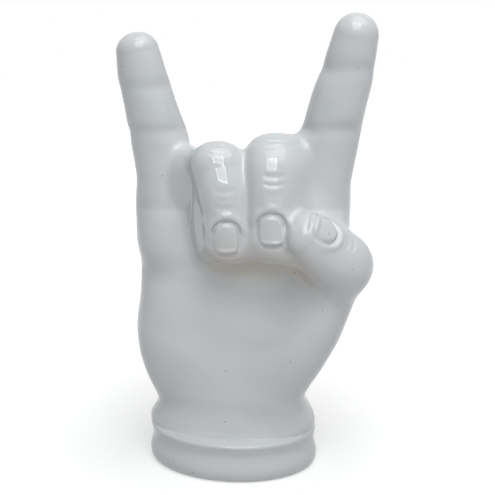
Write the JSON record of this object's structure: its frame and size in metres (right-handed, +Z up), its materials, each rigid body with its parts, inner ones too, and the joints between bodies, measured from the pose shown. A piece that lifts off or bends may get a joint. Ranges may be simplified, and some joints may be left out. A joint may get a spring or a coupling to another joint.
{
  "type": "ceramic hand ornament",
  "caption": "Glazed ceramic right hand on an oval cuff, index and little fingers raised, middle and ring fingers curled, thumb folded over the palm.",
  "frame": {"origin": "centre of the cuff's flat underside", "axes": "+Z up along the raised fingers, -Y the side that the palm and the fingernails of the curled fingers face, +X the thumb's side"},
  "size_m": [0.1176, 0.0686, 0.2085],
  "materials": {
    "cuff": "white gloss glaze",
    "palm": "white gloss glaze",
    "thumb": "white gloss glaze",
    "index_finger": "white gloss glaze",
    "middle_finger": "white gloss glaze",
    "ring_finger": "white gloss glaze",
    "little_finger": "white gloss glaze"
  },
  "bodies": {
    "root": {"cuff": "cuff", "palm": "palm", "thumb": "thumb", "index_finger": "index_finger", "middle_finger": "middle_finger", "ring_finger": "ring_finger", "little_finger": "little_finger"}
  },
  "joints": []
}
